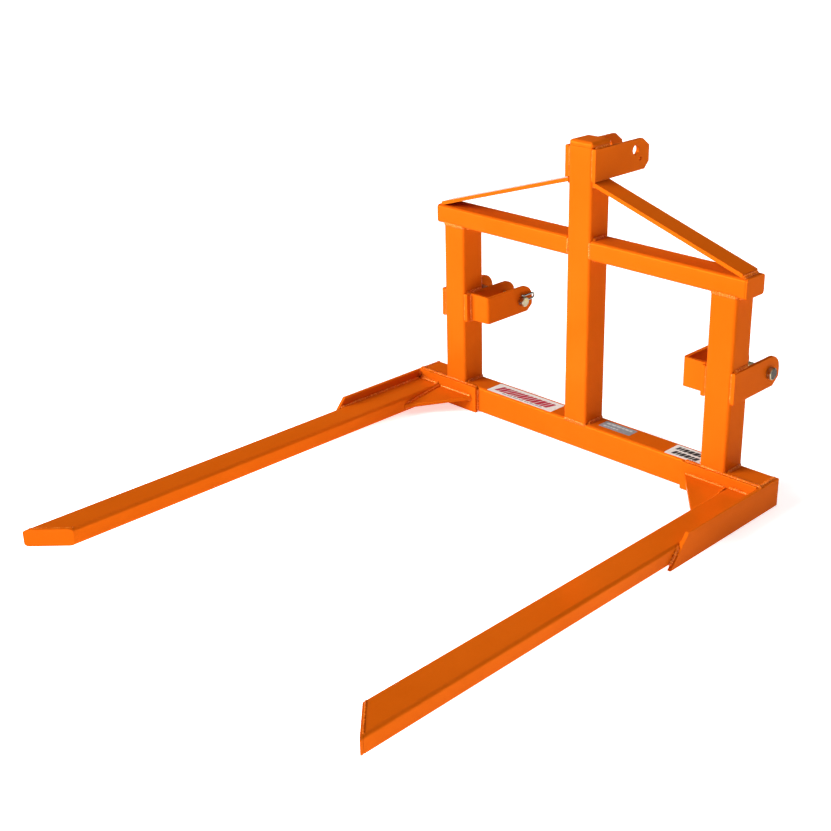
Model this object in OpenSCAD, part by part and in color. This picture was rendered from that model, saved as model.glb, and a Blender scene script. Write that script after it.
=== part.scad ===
// Three-point-hitch pallet fork: welded tube carriage, two tines, lower hitch clevises with pins and clips.
// Millimetres, +Z up. The tines point to -Y, the hitch points to +Y, and the carriage is mirrored about X = 0.
// The origin is under the middle of the whole fork, at floor level.

/* [Carriage tubes] */
// Side of the square tube used for the mast, the uprights and the bottom beam
tube = 60; // [56:1:66]
// Outer corner radius of every tube
tube_r = 7; // [5:0.5:9]
// Wall thickness of the square tube
tube_wall = 5; // [3:0.5:6]
// Distance between the centres of the two uprights
upright_spacing = 694; // [660:1:720]
// Length of the bottom beam, without its side plates
beam_len = 908; // [880:1:960]
// Height of the crossbar's underside above the floor
bar_z = 416; // [400:1:430]
// Height of the crossbar tube
bar_h = 40; // [36:1:44]
// Length of the crossbar over both halves
bar_len = 792; // [770:1:830]
// Height of the mast's top above the floor
mast_top = 652; // [645:1:680]

/* [Tines] */
// Length of a tine from the front face of the beam to its outer point
tine_len = 1016; // [900:1:1220]
// Width of a tine tube
tine_w = 65; // [60:1:70]
// Height of a tine tube
tine_h = 35; // [30:1:40]
// Wall thickness of a tine tube
tine_wall = 4; // [3:0.5:5]
// Gap between the floor and the underside of a tine
tine_z = 5; // [2:1:8]

/* [Heel plates and gussets] */
// Thickness of the heel plates, side plates, gussets and braces
plate_t = 8; // [6:0.5:10]
// Width of a heel plate on the beam's front face
heel_w = 175; // [150:1:190]
// Reach of a side plate in front of the beam, along its foot
side_foot = 289; // [240:1:340]
// Reach of a side plate in front of the beam, along its top edge
side_top = 237; // [180:1:280]
// Height of a side plate
side_h = 58; // [50:1:60]
// Reach of the gusset along the heel plate
gusset_x = 100; // [80:1:108]
// Reach of the gusset along the tine
gusset_y = 115; // [90:1:140]
// Height of the gusset's underside above the floor, at the heel plate
gusset_z = 29; // [26:1:32]
// Fall of the gusset from the heel plate to its point on the tine
gusset_drop = 14; // [0:1:18]

/* [Braces] */
// Width of the flat-bar brace between mast and crossbar
brace_w = 50; // [40:1:54]
// Reach of a brace's lower end from the middle of the mast
brace_x = 384; // [370:1:390]
// Height of a brace's upper face where it meets the mast
brace_top = 575; // [560:1:575]

/* [Hitch] */
// Thickness of every hitch ear
ear_t = 8; // [6:0.5:11]
// Height of every hitch ear
ear_h = 63; // [58:1:66]
// Reach of a lower ear behind the front face of the carriage
ear_back = 156; // [150:1:170]
// Height of the lower hitch pins above the floor
pin_z = 237; // [230:1:245]
// Distance of the lower hitch pins behind the front face of the carriage
pin_y = 121.5; // [115:0.5:125]
// Height of the top-link hole above the lower hitch pins
mast_height = 381; // [375:1:385]
// Distance of the top-link hole behind the front face of the carriage
top_y = 128.5; // [120:0.5:135]
// Reach of a top ear behind the front face of the carriage
top_back = 172; // [166:1:185]
// Diameter of the top-link hole
top_hole_d = 20.6; // [19.5:0.1:22]
// Diameter of the small keeper hole beside the top-link hole
keeper_d = 8; // [6:0.5:9]
// Height of the bracket, whose top is level with the ears
bracket_h = 60; // [56:1:63]
// Clear gap between the middle ear and the bracket's flange
clevis_gap = 44.5; // [40:0.5:50]
// Set-back of the bracket's web behind the front face of the carriage
web_back = 12; // [6:1:16]

/* [Pins] */
// Diameter of a lower hitch pin
pin_d = 22.2; // [20:0.1:24]
// Radial clearance of a pin in its ears and of a clip in its pin
running = 0.08; // [0.04:0.01:0.1]
// Diameter of a pin's head
head_d = 24.5; // [24:0.5:32]
// Length of a pin's head
head_len = 9.5; // [8:0.5:14]
// Length of pin left standing past the bracket
pin_past = 12; // [11:0.5:20]
// Wire diameter of the spring clip
wire_d = 4; // [3:0.5:4.5]
// Tilt of the clip above the horizontal, in degrees
clip_tilt = 5; // [0:1:45]

/* [Hidden] */
$fn = 64;
paint = "darkorange";
zinc = "silver";
// Y of the carriage's front face, which puts the origin under the middle of the fork
front_y = (tine_len - top_back) / 2;
half_beam = beam_len / 2;
half_bar = bar_len / 2;
upright_x = upright_spacing / 2;
bar_top = bar_z + bar_h;
tip_t = 5;
cap_t = 4;
mast_cap_h = 12;
mast_cap_round = 9;
tine_x = half_beam - tine_w / 2;
tine_y0 = -plate_t;
outer_ear_x = upright_x + tube / 2;
middle_ear_x = upright_x - tube / 2 - ear_t;
flange_x = middle_ear_x - clevis_gap - ear_t;
ear_z = pin_z + 0.5 - ear_h / 2;
ear_round = 30;
ear_clip_y = 20;
ear_clip_z = 16;
bend_r = 8;
top_z = pin_z + mast_height;
top_ear_z = top_z + 20.5 - ear_h;
top_chamfer_y = 22;
top_chamfer_z = 16;
foot_chamfer = 14;
keeper_y = top_y + 15;
keeper_z = top_z - 19.5;
brace_front = 2;
brace_drop = brace_top - bar_top - plate_t;
brace_run = brace_x - tube / 2;
head_gap = 0.5;
head_edge = 1.5;
clip_x = flange_x - 6;
eye_r = 5.5;
eye_reach = pin_d / 2 + 17;
leg_past = 4;
bow_r = pin_d / 2 + wire_d / 2 + 0.4;
flare_r = 14;
flare_turn = 38;
bend_d = wire_d + 0.08;
bend_lap = 0.5;
cut = 1000;

// Moves a piece from the carriage's own frame, where its front face is Y = 0
module placed() {
    translate([0, front_y, 0]) children();
}

// Keeps a right-hand piece, or mirrors it to the left
module on_side(right) {
    placed()
        mirror([right ? 0 : 1, 0, 0]) children();
}

// Flat rectangle with round corners, centred on the origin
module round_rect(w, h, r) {
    square([w - 2 * r, h], center = true);
    square([w, h - 2 * r], center = true);
    for (x = [-1, 1], y = [-1, 1])
        translate([x * (w / 2 - r), y * (h / 2 - r)]) circle(r);
}

// Hollow box-section tube along +Z
module box_tube(w, h, wall, length) {
    difference() {
        linear_extrude(length) round_rect(w, h, tube_r);
        translate([0, 0, -1])
            linear_extrude(length + 2) round_rect(w - 2 * wall, h - 2 * wall, tube_r - wall + 1);
    }
}

// Stretches a YZ outline from x0 to x0 + t
module plate_yz(x0, t) {
    translate([x0, 0, 0])
        rotate([90, 0, 90])
            linear_extrude(t) children();
}

// Cylinder along X, from x0 to x1
module x_bore(d, x0, x1, y, z) {
    translate([x0, y, z])
        rotate([0, 90, 0]) cylinder(d = d, h = x1 - x0);
}

module mast_tube() {
    color(paint)
        placed()
            translate([0, tube / 2, tube])
                box_tube(tube, tube, tube_wall, mast_top - mast_cap_h - tube);
}

// Closing cap with its upper edges rolled over on all four sides
module mast_cap() {
    r = mast_cap_round;
    color(paint)
        placed()
            translate([0, tube / 2, mast_top - mast_cap_h])
                intersection() {
                    linear_extrude(mast_cap_h) round_rect(tube, tube, tube_r);
                    crown_prism([90, 0, 0], r);
                    crown_prism([90, 0, 90], r);
                }
}

// Long prism whose section has round upper corners, level with the cap
module crown_prism(turn, r) {
    rotate(turn)
        linear_extrude(2 * tube, center = true)
            translate([0, mast_cap_h - tube / 2]) round_rect(tube, tube, r);
}

module ear_outline() {
    back = ear_back;
    top = ear_z + ear_h;
    polygon([
        [0, ear_z], [back - ear_clip_y, ear_z], [back, ear_z + ear_clip_z],
        [back, top - ear_round], [back - ear_round, top - ear_round], [back - ear_round, top], [0, top]
    ]);
    translate([back - ear_round, top - ear_round]) circle(ear_round);
}

module top_ear_outline() {
    back = top_back;
    top = top_ear_z + ear_h;
    polygon([
        [0, top_ear_z], [back - foot_chamfer, top_ear_z], [back, top_ear_z + foot_chamfer],
        [back, top - top_chamfer_z], [back - top_chamfer_y, top], [0, top]
    ]);
}

module top_link_ear(right) {
    color(paint)
        on_side(right)
            difference() {
                plate_yz(tube / 2, ear_t) top_ear_outline();
                x_bore(top_hole_d, tube / 2 - 1, tube / 2 + ear_t + 1, top_y, top_z);
                x_bore(keeper_d, tube / 2 - 1, tube / 2 + ear_t + 1, keeper_y, keeper_z);
            }
}

// Half of the crossbar, from the mast's side to its end cap
module crossbar(right) {
    color(paint)
        on_side(right)
            translate([tube / 2, tube / 2, bar_z + bar_h / 2])
                rotate([90, 0, 90])
                    box_tube(tube, bar_h, tube_wall, half_bar - cap_t - tube / 2);
}

module crossbar_end_cap(right) {
    color(paint)
        on_side(right)
            translate([half_bar - cap_t, tube / 2, bar_z + bar_h / 2])
                rotate([90, 0, 90])
                    linear_extrude(cap_t) round_rect(tube, bar_h, tube_r);
}

// Flat bar sloping from the mast's side down to the crossbar's top
module brace(right) {
    slope = atan(brace_drop / brace_run);
    high = plate_t / cos(slope);
    color(paint)
        on_side(right)
            translate([tube / 2, brace_front + brace_w, 0])
                rotate([90, 0, 0])
                    linear_extrude(brace_w)
                        polygon([
                            [0, brace_top], [0, brace_top - high],
                            [brace_run * (1 - (high - plate_t) / brace_drop), bar_top],
                            [brace_run, bar_top], [brace_run, bar_top + plate_t]
                        ]);
}

module upright(right) {
    color(paint)
        on_side(right)
            translate([upright_x, tube / 2, tube])
                box_tube(tube, tube, tube_wall, bar_z - tube);
}

module bottom_beam() {
    color(paint)
        placed()
            translate([-half_beam, tube / 2, tube / 2])
                rotate([90, 0, 90]) box_tube(tube, tube, tube_wall, beam_len);
}

module heel_plate(right) {
    color(paint)
        on_side(right)
            translate([half_beam - heel_w, -plate_t, 0]) cube([heel_w, plate_t, tube]);
}

module side_plate(right) {
    color(paint)
        on_side(right)
            plate_yz(half_beam, plate_t)
                polygon([[tube, 0], [tube, side_h], [-side_top, side_h], [-side_foot, 0]]);
}

// Triangle of sloping plate in the corner of heel plate and tine
module inner_gusset(right) {
    x1 = half_beam - tine_w;
    slope = atan(gusset_drop / gusset_y);
    color(paint)
        on_side(right)
            intersection() {
                linear_extrude(tube)
                    polygon([[x1 - gusset_x, tine_y0], [x1, tine_y0], [x1, tine_y0 - gusset_y]]);
                translate([x1, tine_y0, gusset_z])
                    rotate([slope, 0, 0])
                        translate([-2 * gusset_x, -2 * gusset_y, 0])
                            cube([4 * gusset_x, 4 * gusset_y, plate_t]);
            }
}

// Everything behind a 45 degree plane whose outer edge is `back` short of the tine's point
module behind_tip(back) {
    translate([half_beam, back - tine_len, 0])
        rotate([0, 0, -45]) translate([-cut, 0, -cut / 2]) cube([2 * cut, 2 * cut, cut]);
}

module tine(right) {
    color(paint)
        on_side(right)
            intersection() {
                translate([tine_x, tine_y0, tine_z + tine_h / 2])
                    rotate([90, 0, 0]) box_tube(tine_w, tine_h, tine_wall, tine_len + tine_y0);
                behind_tip(tip_t * sqrt(2));
            }
}

module tine_tip_plate(right) {
    color(paint)
        on_side(right)
            difference() {
                intersection() {
                    translate([tine_x, tine_y0, tine_z + tine_h / 2])
                        rotate([90, 0, 0])
                            linear_extrude(tine_len + tine_y0) round_rect(tine_w, tine_h, tube_r);
                    behind_tip(0);
                }
                behind_tip(tip_t * sqrt(2));
            }
}

// Flat ear on the upright's side, bored for the hitch pin
module hitch_ear(right, x0) {
    color(paint)
        on_side(right)
            difference() {
                plate_yz(x0, ear_t) ear_outline();
                x_bore(pin_d + 2 * running, x0 - 1, x0 + ear_t + 1, pin_y, pin_z);
            }
}

// Bent plate: a web butting the middle ear and a flange that is the third ear
module hitch_bracket(right) {
    web_w = middle_ear_x - flange_x;
    color(paint)
        on_side(right)
            difference() {
                intersection() {
                    translate([flange_x, web_back, ear_z + ear_h - bracket_h])
                        linear_extrude(2 * bracket_h) {
                            translate([bend_r, 0]) square([web_w - bend_r, ear_t]);
                            translate([0, bend_r]) square([ear_t, ear_back]);
                            intersection() {
                                translate([bend_r, bend_r]) circle(bend_r);
                                square(bend_r);
                            }
                            translate([bend_r - 1, bend_r - 1]) square([ear_t - bend_r + 1, ear_t - bend_r + 1]);
                        }
                    plate_yz(flange_x - 1, web_w + 2) ear_outline();
                }
                x_bore(pin_d + 2 * running, flange_x - 1, flange_x + ear_t + 1, pin_y, pin_z);
            }
}

// Headed pin through the three ears, cross-drilled past the bracket for its clip
module hitch_pin(right) {
    shaft_x0 = flange_x - pin_past;
    head_x = outer_ear_x + ear_t + head_gap;
    color(zinc)
        on_side(right)
            difference() {
                union() {
                    x_bore(pin_d, shaft_x0 + head_edge, head_x + 1, pin_y, pin_z);
                    translate([shaft_x0, pin_y, pin_z])
                        rotate([0, 90, 0])
                            cylinder(d1 = pin_d - 2 * head_edge, d2 = pin_d, h = head_edge);
                    x_bore(head_d, head_x, head_x + head_len - head_edge, pin_y, pin_z);
                    translate([head_x + head_len - head_edge, pin_y, pin_z])
                        rotate([0, 90, 0])
                            cylinder(d1 = head_d, d2 = head_d - 2 * head_edge, h = head_edge);
                }
                clip_frame() translate([0, 0, -pin_d]) cylinder(d = wire_d + 2 * running, h = 2 * pin_d);
            }
}

// Local frame on the pin's axis at the clip: +Z points the way the clip pulls out, +Y across the pin
module clip_frame() {
    translate([clip_x, pin_y, pin_z])
        rotate([-90 + clip_tilt, 0, 0]) children();
}

// Bend in the clip's wire, about the point (y, z), drawn from angle `from` through `turn`; 0 faces -Z
module wire_bend(y, z, radius, from, turn) {
    translate([0, y, z])
        rotate([0, 90, 0])
            rotate([0, 0, from])
                rotate_extrude(angle = turn) translate([radius, 0]) circle(bend_d / 2);
}

// Spring clip: a straight leg through the pin, an eye, and a second leg that flares out at the pin's crown.
// The straight legs run a little way into the slightly thicker bends.
module pin_clip(right) {
    leg_end = pin_d / 2 + leg_past;
    eye_dist = sqrt(eye_r * eye_r + eye_reach * eye_reach);
    lean = atan2(eye_reach, eye_r) - acos((bow_r - eye_r) / eye_dist);
    link = sqrt(eye_dist * eye_dist - (bow_r - eye_r) * (bow_r - eye_r));
    flare_c = bow_r + flare_r;
    color(zinc)
        on_side(right)
            clip_frame() {
                translate([0, 0, -leg_end]) cylinder(d = wire_d, h = leg_end + eye_reach + bend_lap);
                wire_bend(-eye_r, eye_reach, eye_r, 90, 180 - lean);
                translate([0, -bow_r * cos(lean), bow_r * sin(lean)])
                    rotate([-lean, 0, 0])
                        translate([0, 0, -bend_lap]) cylinder(d = wire_d, h = link + 2 * bend_lap);
                wire_bend(-flare_c * cos(lean), flare_c * sin(lean), flare_r, 90 - lean - flare_turn, flare_turn);
            }
}

mast_tube();
mast_cap();
top_link_ear(false);  // top_link_ear_left
top_link_ear(true);  // top_link_ear_right
crossbar(false);  // crossbar_left
crossbar(true);  // crossbar_right
crossbar_end_cap(false);  // crossbar_end_cap_left
crossbar_end_cap(true);  // crossbar_end_cap_right
brace(false);  // brace_left
brace(true);  // brace_right
upright(false);  // upright_left
upright(true);  // upright_right
bottom_beam();
heel_plate(false);  // heel_plate_left
heel_plate(true);  // heel_plate_right
side_plate(false);  // side_plate_left
side_plate(true);  // side_plate_right
inner_gusset(false);  // inner_gusset_left
inner_gusset(true);  // inner_gusset_right
tine(false);  // tine_left
tine(true);  // tine_right
tine_tip_plate(false);  // tine_tip_plate_left
tine_tip_plate(true);  // tine_tip_plate_right
hitch_ear(false, outer_ear_x);  // outer_hitch_ear_left
hitch_ear(true, outer_ear_x);  // outer_hitch_ear_right
hitch_ear(false, middle_ear_x);  // middle_hitch_ear_left
hitch_ear(true, middle_ear_x);  // middle_hitch_ear_right
hitch_bracket(false);  // hitch_bracket_left
hitch_bracket(true);  // hitch_bracket_right
hitch_pin(false);  // hitch_pin_left
hitch_pin(true);  // hitch_pin_right
pin_clip(false);  // pin_clip_left
pin_clip(true);  // pin_clip_right
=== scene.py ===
"""Three-point-hitch pallet fork: finishes, weld beads, stickers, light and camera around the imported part."""
import math
import random

import bpy
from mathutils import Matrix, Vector


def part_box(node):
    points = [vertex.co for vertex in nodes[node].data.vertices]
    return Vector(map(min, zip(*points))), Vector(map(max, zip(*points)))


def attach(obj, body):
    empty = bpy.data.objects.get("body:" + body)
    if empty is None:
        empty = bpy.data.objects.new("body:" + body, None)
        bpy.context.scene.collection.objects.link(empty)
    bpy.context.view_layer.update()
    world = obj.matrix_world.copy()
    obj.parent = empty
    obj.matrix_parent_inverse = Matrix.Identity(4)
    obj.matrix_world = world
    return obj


MM = 0.001
FRAME_BODY = "frame"

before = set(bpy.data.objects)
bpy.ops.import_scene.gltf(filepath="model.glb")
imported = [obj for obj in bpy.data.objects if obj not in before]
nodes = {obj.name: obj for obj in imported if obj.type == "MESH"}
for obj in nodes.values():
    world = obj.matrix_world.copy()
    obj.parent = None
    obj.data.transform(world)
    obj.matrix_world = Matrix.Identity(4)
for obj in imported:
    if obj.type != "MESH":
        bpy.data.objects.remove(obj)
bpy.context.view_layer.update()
rng = random.Random(7)
scene = bpy.context.scene

# ---------------------------------------------------------------- sizes and places
X, Y, Z = Vector((1, 0, 0)), Vector((0, 1, 0)), Vector((0, 0, 1))
BEAM_LO, BEAM_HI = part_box("bottom_beam")
FRONT, BACK = BEAM_LO.y, BEAM_HI.y
CORNER = 7 * MM                 # outer corner radius of the tubes
PLATE = 8 * MM                  # thickness of braces, gussets and brackets
TIP_PLATE = 5 * MM              # thickness of the plates that close the tines
SIDE_PLATE_RAKE = 52 * MM       # how far a side plate's front edge leans back over its height


# ---------------------------------------------------------------- node helpers
class Mat:
    """Small helper around one node tree."""

    def __init__(self, name):
        self.mat = bpy.data.materials.new(name)
        self.mat.use_nodes = True
        self.tree = self.mat.node_tree
        self.bsdf = self.tree.nodes["Principled BSDF"]
        self.coord = self.add("ShaderNodeTexCoord").outputs["Object"]

    def add(self, kind, **props):
        node = self.tree.nodes.new(kind)
        for key, value in props.items():
            setattr(node, key, value)
        return node

    def link(self, a, b):
        self.tree.links.new(a, b)

    def noise(self, scale, detail=2.0, rough=0.5, stretch=None):
        tex = self.add("ShaderNodeTexNoise")
        tex.inputs["Scale"].default_value = scale
        tex.inputs["Detail"].default_value = detail
        tex.inputs["Roughness"].default_value = rough
        place = self.coord
        if stretch:
            mapping = self.add("ShaderNodeMapping")
            mapping.inputs["Scale"].default_value = stretch
            self.link(self.coord, mapping.inputs["Vector"])
            place = mapping.outputs["Vector"]
        self.link(place, tex.inputs["Vector"])
        return tex.outputs["Fac"]

    def ramp(self, fac, stops):
        """Colour or grey value along fac, from (position, value) stops."""
        node = self.add("ShaderNodeValToRGB")
        elements = node.color_ramp.elements
        while len(elements) < len(stops):
            elements.new(0.5)
        for element, (position, value) in zip(elements, stops):
            element.position = position
            element.color = (*value, 1) if hasattr(value, "__len__") else (value, value, value, 1)
        self.link(fac, node.inputs["Fac"])
        return node.outputs["Color"]

    def mix(self, fac, a, b, blend="MIX"):
        node = self.add("ShaderNodeMix", data_type="RGBA", blend_type=blend)
        for key, value in (("Factor", fac), ("A", a), ("B", b)):
            socket = [s for s in node.inputs if s.name == key and s.enabled][0]
            if hasattr(value, "is_linked"):
                self.link(value, socket)
            elif key == "Factor":
                socket.default_value = value
            else:
                socket.default_value = (*value, 1)
        return [s for s in node.outputs if s.enabled][0]

    def math(self, op, a, b=0.0, clamp=False):
        node = self.add("ShaderNodeMath", operation=op, use_clamp=clamp)
        for i, value in enumerate((a, b)):
            if hasattr(value, "is_linked"):
                self.link(value, node.inputs[i])
            else:
                node.inputs[i].default_value = value
        return node.outputs[0]

    def bump(self, height, strength, distance, normal=None):
        node = self.add("ShaderNodeBump")
        node.inputs["Strength"].default_value = strength
        node.inputs["Distance"].default_value = distance
        self.link(height, node.inputs["Height"])
        if normal is not None:
            self.link(normal, node.inputs["Normal"])
        return node.outputs["Normal"]

    def edges(self, radius, low, high):
        """White where the surface turns a convex or concave edge within radius."""
        bevel = self.add("ShaderNodeBevel", samples=4)
        bevel.inputs["Radius"].default_value = radius
        geo = self.add("ShaderNodeNewGeometry")
        dot = self.add("ShaderNodeVectorMath", operation="DOT_PRODUCT")
        self.link(bevel.outputs["Normal"], dot.inputs[0])
        self.link(geo.outputs["Normal"], dot.inputs[1])
        return self.ramp(self.math("SUBTRACT", 1.0, dot.outputs["Value"]), [(low, 0.0), (high, 1.0)])

    def set(self, **values):
        for key, value in values.items():
            self.bsdf.inputs[key.replace("_", " ")].default_value = value

    def to(self, socket, output):
        self.link(output, self.bsdf.inputs[socket])


def srgb(r, g, b):
    """Linear colour of an 8-bit sRGB one."""
    def linear(c):
        c /= 255.0
        return c / 12.92 if c <= 0.04045 else ((c + 0.055) / 1.055) ** 2.4

    return (linear(r), linear(g), linear(b))


# ---------------------------------------------------------------- finishes
def make_paint():
    """Gloss orange powder coat: mottled tone, orange-peel skin, and a painted highlight that lightens the
    paint over edges.
    """
    m = Mat("orange_powder_coat")
    deep, body, light = srgb(201, 88, 9), srgb(207, 92, 12), srgb(212, 96, 15)
    tone = m.ramp(m.noise(4.0, 4.0, 0.6), [(0.30, deep), (0.52, body), (0.75, light)])
    grain = m.ramp(m.noise(260.0, 3.0, 0.6), [(0.35, 0.975), (0.65, 1.0)])
    tone = m.mix(1.0, tone, grain, "MULTIPLY")
    # painted highlight: paler orange mixed in wherever the surface turns an edge
    edge_highlight = m.math("MULTIPLY", m.edges(2.0 * MM, 0.02, 0.16), 0.28)
    m.to("Base Color", m.mix(edge_highlight, tone, srgb(246, 134, 26)))
    m.to("Roughness", m.ramp(m.noise(30.0, 5.0, 0.65), [(0.30, 0.10), (0.70, 0.18)]))
    peel = m.bump(m.noise(430.0, 2.0, 0.5), 0.05, 0.25 * MM)
    sag = m.bump(m.noise(22.0, 2.0, 0.5), 0.05, 1.2 * MM, peel)
    m.to("Normal", sag)
    m.set(Metallic=0.07, Specular_IOR_Level=0.010, Specular_Tint=(1.0, 0.45, 0.10, 1))
    return m.mat


def make_zinc(name, warm, cool, rough_lo, rough_hi, stretch):
    """Plated steel: turned lines, cloudy tone, small dark specks."""
    m = Mat(name)
    cloud = m.ramp(m.noise(160.0, 4.0, 0.6), [(0.35, 0.0), (0.65, 1.0)])
    tone = m.mix(cloud, warm, cool)
    speck = m.ramp(m.noise(900.0, 2.0, 0.5), [(0.66, 0.0), (0.74, 1.0)])
    tone = m.mix(m.math("MULTIPLY", speck, 0.5), tone, srgb(96, 88, 74))
    m.to("Base Color", tone)
    lines = m.noise(1.0, 3.0, 0.6, stretch)
    m.to("Roughness", m.ramp(lines, [(0.3, rough_lo), (0.7, rough_hi)]))
    m.to("Normal", m.bump(lines, 0.18, 0.08 * MM))
    m.set(Metallic=1.0)
    return m.mat


def make_film(name, light, dark, rough):
    """Printed film of a sticker: slight mottling and a soft gloss."""
    m = Mat(name)
    m.to("Base Color", m.ramp(m.noise(220.0, 3.0, 0.6), [(0.30, dark), (0.70, light)]))
    m.to("Roughness", m.ramp(m.noise(90.0, 3.0, 0.6), [(0.3, rough - 0.06), (0.7, rough + 0.06)]))
    m.to("Normal", m.bump(m.noise(300.0, 2.0, 0.5), 0.08, 0.1 * MM))
    return m.mat


def make_bead_paint():
    """The same paint over a weld: wetter and a little uneven, with painted glints as pale specks."""
    m = Mat("orange_powder_coat_on_weld")
    tone = m.ramp(m.noise(60.0, 3.0, 0.6), [(0.3, srgb(206, 88, 3)), (0.7, srgb(226, 106, 8))])
    # painted glints: small specks of light orange scattered over the bead
    glint_specks = m.ramp(m.noise(190.0, 1.0, 0.5), [(0.52, 0.0), (0.62, 0.55)])
    m.to("Base Color", m.mix(glint_specks, tone, srgb(248, 138, 46)))
    m.to("Roughness", m.ramp(m.noise(240.0, 2.0, 0.5), [(0.3, 0.18), (0.7, 0.30)]))
    m.to("Normal", m.bump(m.noise(700.0, 2.0, 0.5), 0.12, 0.3 * MM))
    m.set(Metallic=0.2, Specular_IOR_Level=0.14, Coat_Weight=0.14, Coat_Roughness=0.08)
    return m.mat


PAINT = make_paint()
BEAD_PAINT = make_bead_paint()
ZINC = make_zinc("yellow_zinc_plate", srgb(190, 168, 108), srgb(176, 172, 158),
                 0.22, 0.40, (2600.0, 60.0, 60.0))
CLIP = make_zinc("bright_zinc_wire", srgb(184, 182, 170), srgb(150, 150, 148),
                 0.16, 0.30, (120.0, 900.0, 900.0))
PIN_END = make_zinc("sawn_pin_end", srgb(62, 56, 48), srgb(98, 92, 84),
                    0.34, 0.55, (60.0, 900.0, 60.0))
FILM_WHITE = make_film("film_white", srgb(240, 238, 232), srgb(222, 219, 212), 0.36)
FILM_RED = make_film("film_red", srgb(190, 34, 62), srgb(160, 24, 48), 0.34)
FILM_GREY = make_film("film_grey", srgb(150, 152, 154), srgb(122, 124, 128), 0.36)
FILM_PALE = make_film("film_pale", srgb(206, 208, 208), srgb(184, 186, 188), 0.36)
FILM_DARK = make_film("film_dark", srgb(52, 50, 50), srgb(34, 33, 34), 0.40)


# ---------------------------------------------------------------- CAD nodes: finish and edge softness
def soften(obj, width):
    """Small round on every edge, with flat faces kept flat."""
    weld = obj.modifiers.new("weld", "WELD")
    weld.merge_threshold = 0.01 * MM
    flat = obj.modifiers.new("flat", "DECIMATE")
    flat.decimate_type = "DISSOLVE"
    flat.angle_limit = math.radians(1)
    bevel = obj.modifiers.new("bevel", "BEVEL")
    bevel.width = width
    bevel.segments = 2
    bevel.limit_method = "ANGLE"
    bevel.angle_limit = math.radians(40)
    bevel.harden_normals = False
    normals = obj.modifiers.new("normals", "WEIGHTED_NORMAL")
    normals.keep_sharp = False
    normals.weight = 90
    for face in obj.data.polygons:
        face.use_smooth = True


def dress(obj, material):
    obj.data.materials.clear()
    obj.data.materials.append(material)


def darken_end(obj, sx):
    """Bare cut face on the outer end of a pin's head."""
    obj.data.materials.append(PIN_END)
    outermost = max(v.co.x * sx for v in obj.data.vertices)
    for face in obj.data.polygons:
        if face.normal.x * sx > 0.9 and face.center.x * sx > outermost - 1 * MM:
            face.material_index = 1


def dress_cad():
    for name, obj in nodes.items():
        if name.startswith("hitch_pin"):
            dress(obj, ZINC)
            darken_end(obj, 1 if name.endswith("right") else -1)
            soften(obj, 0.4 * MM)
        elif name.startswith("pin_clip"):
            dress(obj, CLIP)
            soften(obj, 0.2 * MM)
        else:
            dress(obj, PAINT)
            soften(obj, 1.1 * MM)


def make_piece(name, verts, faces, material, smooth=True):
    """A surface detail that rides on the frame."""
    mesh = bpy.data.meshes.new(name)
    mesh.from_pydata(verts, [], faces)
    mesh.materials.append(material)
    for face in mesh.polygons:
        face.use_smooth = smooth
    obj = bpy.data.objects.new(name, mesh)
    scene.collection.objects.link(obj)
    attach(obj, FRAME_BODY)


# ---------------------------------------------------------------- weld beads
RIPPLE = 5.2 * MM               # length of one ripple of a bead
RIPPLE_STEPS = 5                # rings of points along one ripple
SECTION_POINTS = 7
FILLET = (-10, 100)             # section of a bead in a corner, in degrees
GROOVE = (-84, 84)              # section of a bead laid flush in a joint
RUN_FRONT, RUN_BACK = FRONT + CORNER, BACK - CORNER
TUBE_BEAD = 5 * MM
SINK = 3.2 * MM                 # depth of a flush bead's centre below the face it shows on
LAP = 1 * MM                    # how far a bead's line stands inside the joint


class Beads:
    """Gathers welded runs into one mesh."""

    def __init__(self):
        self.verts, self.faces = [], []

    def run(self, start, stop, u, v, r, arc=FILLET):
        """A run between two points. Its section is an arc about the line, from u (0) to v (90)."""
        along = stop - start
        length = along.length
        if length < 2 * MM:
            return
        t = along / length
        steps = max(8, int(length / (RIPPLE / RIPPLE_STEPS)))
        phase, wander, slow = rng.random(), rng.random() * 6.28, 5 + 4 * rng.random()
        first, last = (math.radians(a) for a in arc)
        base = len(self.verts)
        cap = min(1.1 * r, length / 3)
        for i in range(steps + 1):
            s = length * i / steps
            from_end = min(1.0, min(s, length - s) / cap)
            taper = max(0.25, math.sqrt(max(0.0, 1 - (1 - from_end) ** 2)))
            swell = 1 + 0.06 * math.sin(wander + slow * s / 0.06) + 0.03 * math.sin(2.3 * wander + s / 0.011)
            for j in range(SECTION_POINTS):
                f = j / (SECTION_POINTS - 1)
                angle = first + (last - first) * f
                crescent = 0.45 * (1 - (2 * f - 1) ** 2)
                k = (s / RIPPLE + phase - crescent) % 1.0
                ripple = 0.74 + 0.32 * math.sin(math.pi * k) ** 0.7
                offset = (u * math.cos(angle) + v * math.sin(angle)) * (r * taper * swell * ripple)
                self.verts.append(start + t * s + offset)
        for i in range(steps):
            for j in range(SECTION_POINTS - 1):
                a = base + i * SECTION_POINTS + j
                b = a + SECTION_POINTS
                self.faces.append((a, a + 1, b + 1, b))

    def along_x(self, x0, x1, y, z, u, v, r, arc=FILLET):
        self.run(Vector((x0, y, z)), Vector((x1, y, z)), u, v, r, arc)

    def along_y(self, x, z, u, v, r, arc=FILLET, y0=RUN_FRONT, y1=RUN_BACK):
        self.run(Vector((x, y0, z)), Vector((x, y1, z)), u, v, r, arc)

    def along_z(self, x, y, z0, z1, u, v, r, arc=FILLET):
        self.run(Vector((x, y, z0)), Vector((x, y, z1)), u, v, r, arc)

    def build(self, name):
        make_piece(name, self.verts, self.faces, BEAD_PAINT)


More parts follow.
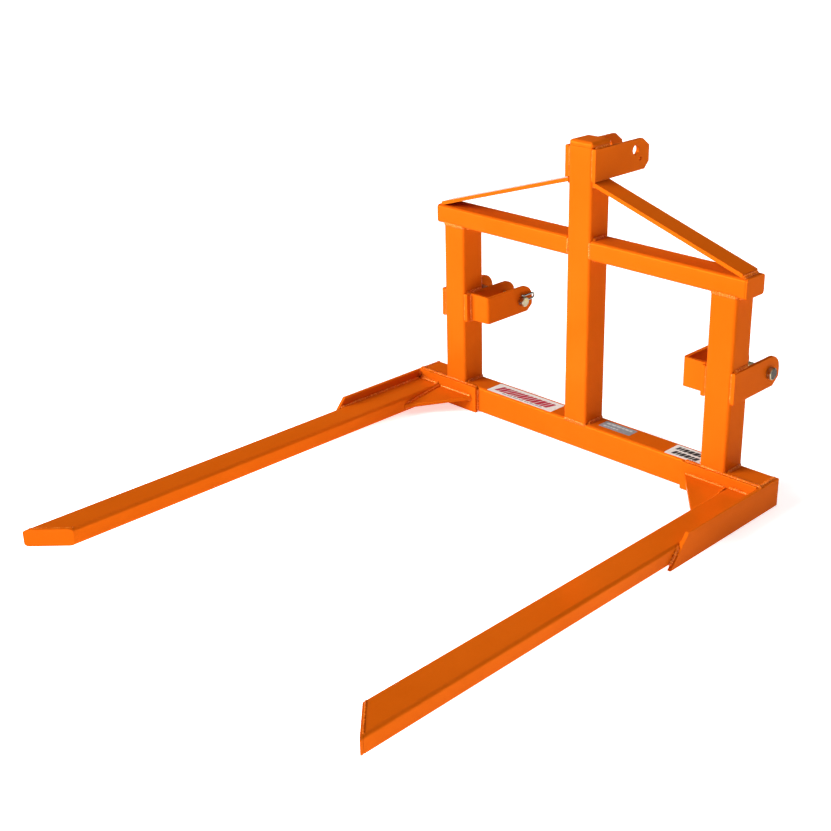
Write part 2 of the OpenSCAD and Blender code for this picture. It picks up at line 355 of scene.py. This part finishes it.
class Side:
    """One half of the fork: its name, its outward direction and the places of its nodes."""

    def __init__(self, name, sx):
        self.name, self.sx, self.out = name, sx, X * sx

    def box(self, node):
        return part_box(f"{node}_{self.name}")

    def faces(self, node):
        """X of a node's inner and outer face."""
        low, high = self.box(node)
        return (low.x, high.x) if self.sx > 0 else (high.x, low.x)


def weld_ear(beads, x, d, box, fillet):
    """All round a hitch ear that lies against a tube's side at x, which faces direction d."""
    low, high = box
    beads.along_y(x, high.z, d, Z, fillet)
    beads.along_y(x, low.z, d, -Z, fillet)
    beads.along_z(x - d.x * LAP, FRONT + SINK, low.z + LAP, high.z - LAP, -Y, d, 2.7 * MM, GROOVE)
    beads.along_z(x, BACK - LAP, low.z + LAP, high.z - LAP, Y, -d, 4.6 * MM)


def weld_upright(side):
    """Upright on the beam and under the crossbar."""
    beads = Beads()
    inner, outer = side.faces("upright")
    head = side.box("upright")[1].z
    for x, d in ((inner, -side.out), (outer, side.out)):
        beads.along_y(x, BEAM_HI.z, d, Z, TUBE_BEAD)
        beads.along_y(x, head, d, -Z, TUBE_BEAD)
    for y, d in ((FRONT, -Y), (BACK, Y)):
        flush = y - d.y * SINK
        beads.along_x(inner, outer, flush, BEAM_HI.z - LAP, d, Z, TUBE_BEAD, GROOVE)
        beads.along_x(inner, outer, flush, head + LAP, d, -Z, TUBE_BEAD, GROOVE)
    beads.build(f"weld_upright_{side.name}")


def weld_mast(side):
    """Crossbar, top-link ear and brace on the mast's side."""
    beads = Beads()
    out = side.out
    bar_low, bar_high = side.box("crossbar")
    mast_x = side.faces("crossbar")[0]
    beads.along_y(mast_x, bar_high.z, out, Z, TUBE_BEAD)
    beads.along_y(mast_x, bar_low.z, out, -Z, TUBE_BEAD)
    joint_x = mast_x - side.sx * 2 * MM
    for y, d in ((FRONT, -Y), (BACK, Y)):
        flush = y - d.y * 3.4 * MM
        beads.along_z(joint_x, flush, bar_low.z + 3 * MM, bar_high.z - 3 * MM, d, out, 4.4 * MM, GROOVE)
    weld_ear(beads, mast_x, out, side.box("top_link_ear"), 4.2 * MM)

    low, high = side.box("brace")
    slope = math.atan2(high.z - bar_high.z - PLATE, high.x - low.x)
    down = out * math.cos(slope) - Z * math.sin(slope)
    beads.along_y(mast_x, high.z, down, Z, 4.6 * MM, (-10, 104), low.y, high.y)
    beads.along_y(mast_x, high.z - 1.05 * PLATE, down, -Z, 4.2 * MM, (-10, 80), low.y, high.y)
    beads.build(f"weld_mast_{side.name}")


def weld_brace_foot(side):
    """Lower end of the brace on the crossbar's top."""
    beads = Beads()
    low, high = side.box("brace")
    top = side.box("crossbar")[1].z
    beads.along_y(side.faces("brace")[1], top, side.out, Z, 6 * MM, (-6, 98), low.y, high.y)
    beads.build(f"weld_brace_foot_{side.name}")


def weld_hitch(side):
    """Outer and middle ear on the upright, bracket on the middle ear."""
    beads = Beads()
    inner, outer = side.faces("upright")
    weld_ear(beads, outer, side.out, side.box("outer_hitch_ear"), 4.4 * MM)
    weld_ear(beads, inner, -side.out, side.box("middle_hitch_ear"), 4.4 * MM)
    low, high = side.box("hitch_bracket")
    joint_x = side.faces("hitch_bracket")[1]
    for y, d in ((low.y, -Y), (low.y + PLATE, Y)):
        beads.along_z(joint_x, y, low.z + LAP, high.z - LAP, -side.out, d, 2.3 * MM)
    beads.build(f"weld_hitch_{side.name}")


def weld_heel(side):
    """Heel plate, side plate and gusset on the beam and the tine."""
    beads = Beads()
    sx, out = side.sx, side.out
    heel_low, heel_high = side.box("heel_plate")
    heel_in, heel_out = side.faces("heel_plate")
    tine_low, tine_high = side.box("tine")
    tine_in, tine_out = side.faces("tine")
    plate_low, plate_high = side.box("side_plate")
    plate_in = side.faces("side_plate")[0]
    gusset_low, gusset_high = side.box("inner_gusset")
    face_y = heel_low.y

    beads.along_x(heel_in + sx * 4 * MM, heel_out + sx * 6 * MM, FRONT + 1.6 * MM, heel_high.z - 2.2 * MM,
                  Y, Z, 4.6 * MM, (0, 180))
    beads.along_z(heel_in, FRONT, heel_low.z + 4 * MM, heel_high.z - 4 * MM, -out, -Y, 3.2 * MM)
    beads.along_x(tine_in + sx * 5 * MM, tine_out - sx * 2 * MM, face_y, tine_high.z, -Y, Z, TUBE_BEAD)
    beads.along_z(tine_in, face_y, tine_low.z + 5 * MM, gusset_low.z, -Y, -out, 4.6 * MM)
    beads.along_z(plate_in, face_y, tine_high.z + 2 * MM, plate_high.z - 2 * MM, -Y, -out, 4.6 * MM)

    # side plate along the tine's top, up its raked front edge and on the beam's end
    plate_h = plate_high.z - plate_low.z
    rake_y = plate_low.y + SIDE_PLATE_RAKE * (tine_high.z - plate_low.z) / plate_h
    beads.along_y(plate_in, tine_high.z - 2.4 * MM, -out, Z, 5.2 * MM, (10, 100),
                  face_y - 2 * MM, rake_y + 2 * MM)
    rise = Vector((0, SIDE_PLATE_RAKE, plate_h)).normalized()
    ahead = Vector((0, -rise.z, rise.y))
    corner = Vector((plate_in, plate_low.y, plate_low.z))
    foot, head = (corner + rise * (z / rise.z) for z in (7 * MM, tine_high.z - 3 * MM))
    beads.run(foot, head, ahead, out, 4.8 * MM)
    beads.along_y(plate_in, plate_high.z - 1 * MM, out, Z, 4.4 * MM, (8, 150), FRONT + 2 * MM, BACK - 2 * MM)

    # gusset, whose faces fall from the heel plate to its point on the tine
    root_x, side_x = side.faces("inner_gusset")[0] + sx * 3 * MM, tine_in - sx * 3 * MM
    start_y, point_y = face_y - 3 * MM, gusset_low.y + 4 * MM
    upper = (gusset_high.z, gusset_low.z + PLATE, Z)
    lower = (gusset_high.z - PLATE, gusset_low.z, -Z)
    for rear_z, point_z, v in (upper, lower):
        beads.along_x(root_x, side_x, face_y, rear_z, -Y, v, 3.8 * MM)
        beads.run(Vector((tine_in, start_y, rear_z)), Vector((tine_in, point_y, point_z)), -out, v, 3.8 * MM)
    beads.build(f"weld_heel_{side.name}")


def weld_tip(side):
    """Seam between the mitred tine and its tip plate, over the top."""
    beads = Beads()
    inner, outer = side.faces("tine")
    seam_y = side.box("tine_tip_plate")[0].y + TIP_PLATE * math.sqrt(2)
    inset = side.sx * 4 * MM
    z = side.box("tine")[1].z - 0.5 * MM
    start = Vector((outer - inset, seam_y + abs(inset), z))
    stop = Vector((inner + inset, seam_y + abs(outer - inner) - abs(inset), z))
    beads.run(start, stop, Vector((-side.sx, -1, 0)).normalized(), Z, 1.7 * MM, (10, 170))
    beads.build(f"weld_tip_{side.name}")


def weld_mast_foot():
    """Mast on the beam."""
    beads = Beads()
    low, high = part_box("mast_tube")
    for x, d in ((low.x, -X), (high.x, X)):
        beads.along_y(x, low.z, d, Z, TUBE_BEAD)
    for y, d in ((FRONT, -Y), (BACK, Y)):
        beads.along_x(low.x, high.x, y - d.y * SINK, low.z - LAP, d, Z, TUBE_BEAD, GROOVE)
    beads.build("weld_mast_foot")


# ---------------------------------------------------------------- stickers on the beam's top
FILM_LIFT, FILM_THICK = 0.05 * MM, 0.14 * MM
STICKER_Z = BEAM_HI.z + FILM_LIFT
PRINT_Z = STICKER_Z + FILM_THICK
STICKER_ROUND = 2.5 * MM


def ring(x0, x1, y0, y1, radius, lean=0.0):
    """Outline of a rectangle with rounded corners, leaning forward by `lean` over its height."""
    corners = ((x1 - radius, y1 - radius, 0), (x0 + radius, y1 - radius, 90),
               (x0 + radius, y0 + radius, 180), (x1 - radius, y0 + radius, 270))
    points = []
    for cx, cy, start in corners:
        for k in range(5):
            t = math.radians(start + 22.5 * k)
            x, y = cx + radius * math.cos(t), cy + radius * math.sin(t)
            points.append((x + lean * (y - y0), y))
    return points


def film(name, outlines, base, material):
    """Thin raised patches, all in one mesh."""
    verts, faces = [], []
    for points in outlines:
        start, count = len(verts), len(points)
        verts += [(x, y, base) for x, y in points] + [(x, y, base + FILM_THICK) for x, y in points]
        faces.append(tuple(range(start + count, start + 2 * count)))
        for k in range(count):
            n = (k + 1) % count
            faces.append((start + k, start + n, start + count + n, start + count + k))
    make_piece(name, verts, faces, material, smooth=False)


def dashes(x0, x1, y0, y1, short, long, gap, lean=0.0):
    """A row of uneven slanted dashes, in place of lettering."""
    outlines, x = [], x0
    while x < x1 - short:
        width = min(rng.uniform(short, long), x1 - x)
        outlines.append(ring(x, x + width, y0, y1, min(width, y1 - y0) * 0.22, lean))
        x += width + gap
    return outlines


def stickers():
    y = FRONT

    x0, x1 = -254 * MM, -68 * MM
    film("sticker_long", [ring(x0, x1, y + 3 * MM, y + 50 * MM, STICKER_ROUND)], STICKER_Z, FILM_WHITE)
    film("sticker_long_print",
         dashes(x0 + 12 * MM, x1 - 18 * MM, y + 14 * MM, y + 40 * MM, 5 * MM, 13 * MM, 2.5 * MM, 0.3),
         PRINT_Z, FILM_RED)
    film("sticker_long_line",
         dashes(x0 + 40 * MM, x1 - 24 * MM, y + 8 * MM, y + 11 * MM, 6 * MM, 20 * MM, 2.5 * MM),
         PRINT_Z, FILM_GREY)

    x0, x1 = 50 * MM, 131 * MM
    film("sticker_small", [ring(x0, x1, y + 18 * MM, y + 48 * MM, STICKER_ROUND)], STICKER_Z, FILM_GREY)
    film("sticker_small_print",
         dashes(x0 + 8 * MM, x1 - 8 * MM, y + 36 * MM, y + 42 * MM, 5 * MM, 12 * MM, 2 * MM)
         + dashes(x0 + 8 * MM, x1 - 30 * MM, y + 24 * MM, y + 28 * MM, 4 * MM, 10 * MM, 2 * MM),
         PRINT_Z, FILM_PALE)

    x0, x1 = 230 * MM, 317 * MM
    film("sticker_square", [ring(x0, x1, y + 3 * MM, y + 51 * MM, STICKER_ROUND)], STICKER_Z, FILM_WHITE)
    film("sticker_square_print",
         dashes(x0 + 8 * MM, x1 - 8 * MM, y + 30 * MM, y + 44 * MM, 5 * MM, 12 * MM, 2 * MM, 0.2)
         + dashes(x0 + 12 * MM, x1 - 12 * MM, y + 10 * MM, y + 24 * MM, 5 * MM, 10 * MM, 2 * MM, 0.2),
         PRINT_Z, FILM_DARK)


# ---------------------------------------------------------------- floor, light, camera
FLOOR_RADIUS, COVE_RADIUS, WALL_HEIGHT = 36.0, 5.0, 12.0
AROUND = 96
FLOOR_GLOW, FLOOR_GLOW_AHEAD = 0.58, 0.95


def make_floor_paint():
    """Matt white that glows a little, and more in front of the carriage than behind it."""
    m = Mat("studio_floor")
    m.to("Base Color", m.ramp(m.noise(1.2, 3.0, 0.5), [(0.3, 0.90), (0.7, 0.93)]))
    m.to("Roughness", m.ramp(m.noise(30.0, 2.0, 0.5), [(0.3, 0.85), (0.7, 0.95)]))
    m.set(Specular_IOR_Level=0.05, Emission_Color=(1, 1, 1, 1))
    axes = m.add("ShaderNodeSeparateXYZ")
    m.link(m.coord, axes.inputs["Vector"])
    ahead = m.math("DIVIDE", m.math("SUBTRACT", FRONT - 0.10, axes.outputs["Y"]), 0.35, clamp=True)
    m.to("Emission Strength", m.math("ADD", m.math("MULTIPLY", ahead, FLOOR_GLOW_AHEAD), FLOOR_GLOW))
    return m.mat


def lathe(name, rings, capped, material):
    """Stage surface of (radius, height) rings about the Z axis, with a flat first ring if capped."""
    spin = [2 * math.pi * k / AROUND for k in range(AROUND)]
    verts = [(r * math.cos(a), r * math.sin(a), z) for r, z in rings for a in spin]
    faces = [tuple(range(AROUND))] if capped else []
    for i in range(len(rings) - 1):
        for k in range(AROUND):
            n = (k + 1) % AROUND
            faces.append((i * AROUND + k, i * AROUND + n, (i + 1) * AROUND + n, (i + 1) * AROUND + k))
    mesh = bpy.data.meshes.new(name)
    mesh.from_pydata(verts, [], faces)
    mesh.materials.append(material)
    for face in mesh.polygons:
        face.use_smooth = True
    obj = bpy.data.objects.new(name, mesh)
    scene.collection.objects.link(obj)
    return obj


def make_studio():
    """Pale floor disc that sweeps up into a wall all round, seen by the camera only."""
    paint = make_floor_paint()
    bend = [math.radians(a) for a in range(0, 91, 10)]
    cove = [(FLOOR_RADIUS + COVE_RADIUS * math.sin(a), COVE_RADIUS * (1 - math.cos(a))) for a in bend]
    wall_top = (FLOOR_RADIUS + COVE_RADIUS, COVE_RADIUS + WALL_HEIGHT)
    lathe("studio_floor", [(FLOOR_RADIUS, 0.0)], True, paint)
    backdrop = lathe("studio_cove", cove + [wall_top], False, paint)
    backdrop.visible_shadow = False
    backdrop.visible_diffuse = False
    backdrop.visible_glossy = False


def sun(name, toward, strength, softness):
    """Distant soft light that comes from direction `toward`, `softness` degrees wide."""
    data = bpy.data.lights.new(name, "SUN")
    data.energy = strength * math.pi
    data.angle = math.radians(softness)
    obj = bpy.data.objects.new(name, data)
    obj.rotation_euler = Vector(toward).to_track_quat("Z", "Y").to_euler()
    scene.collection.objects.link(obj)


def make_world():
    world = bpy.data.worlds.new("studio_world")
    world.use_nodes = True
    background = world.node_tree.nodes["Background"]
    background.inputs["Color"].default_value = (0.95, 0.97, 1.0, 1)
    background.inputs["Strength"].default_value = 0.05
    scene.world = world


def make_camera():
    """Standing in front of the right tine, looking down at the carriage."""
    azimuth, pitch = math.radians(42.47), math.radians(23.25)
    data = bpy.data.cameras.new("camera")
    data.sensor_width = 36.0
    data.lens = 59.38614
    data.shift_x, data.shift_y = -0.104212, -0.007942
    data.clip_end = 200
    camera = bpy.data.objects.new("camera", data)
    camera.location = (1.6677, FRONT - 2.0461, 1.2203)
    camera.rotation_euler = (math.pi / 2 - pitch, 0, azimuth)
    scene.collection.objects.link(camera)
    scene.camera = camera
    scene.view_settings.view_transform = "Standard"
    scene.view_settings.look = "None"


# ---------------------------------------------------------------- the whole scene
dress_cad()
for half in (Side("right", 1), Side("left", -1)):
    weld_upright(half)
    weld_mast(half)
    weld_brace_foot(half)
    weld_hitch(half)
    weld_heel(half)
    weld_tip(half)
weld_mast_foot()
stickers()
make_studio()
sun("key_front", (-0.60, -1.0, 0.52), 1.60, 36)
sun("top_soft", (0.05, 0.20, 1.0), 0.34, 60)
sun("fill_right", (1.0, 0.05, 0.30), 0.12, 50)
make_world()
make_camera()
